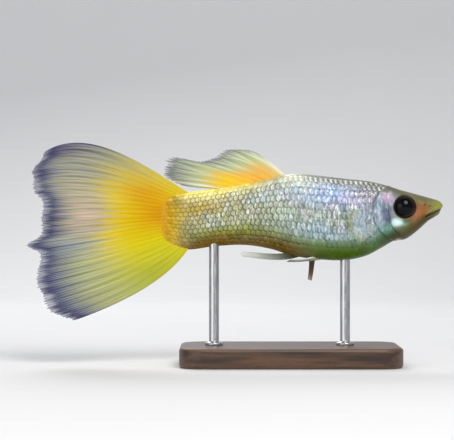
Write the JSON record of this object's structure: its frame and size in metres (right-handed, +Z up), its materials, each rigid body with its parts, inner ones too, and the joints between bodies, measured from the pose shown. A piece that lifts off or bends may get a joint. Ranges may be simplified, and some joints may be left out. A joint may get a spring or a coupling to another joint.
{
  "type": "fancy guppy model on stand",
  "caption": "Life-size still model of a male fancy guppy with a fan tail, held level by slim rods over a flat display base.",
  "frame": {"origin": "middle of the stand base's flat underside", "axes": "+X the way the fish faces, +Y its left side, +Z up"},
  "size_m": [0.0413, 0.012, 0.0223],
  "materials": {
    "head_skin": "satin, wet-looking",
    "flank_skin": "pearly, silver blue",
    "stalk_skin": "pearly, gold with dark scale edges",
    "eye": "polished",
    "caudal_membrane": "thin, translucent yellow",
    "dorsal_membrane": "thin, translucent orange and pale yellow",
    "clear_fin": "thin, nearly clear",
    "stand_base": "dark, satin",
    "stand_rod": "satin"
  },
  "bodies": {
    "root": {"head": "head_skin", "torso": "flank_skin", "tail_stalk": "stalk_skin", "eye_left": "eye", "eye_right": "eye", "caudal_fin": "caudal_membrane", "dorsal_fin": "dorsal_membrane", "gonopodium": "clear_fin", "pelvic_fin_left": "clear_fin", "pelvic_fin_right": "clear_fin", "pectoral_fin_left": "clear_fin", "pectoral_fin_right": "clear_fin", "stand_base": "stand_base", "stand_rod_front": "stand_rod", "stand_rod_rear": "stand_rod"}
  },
  "joints": []
}
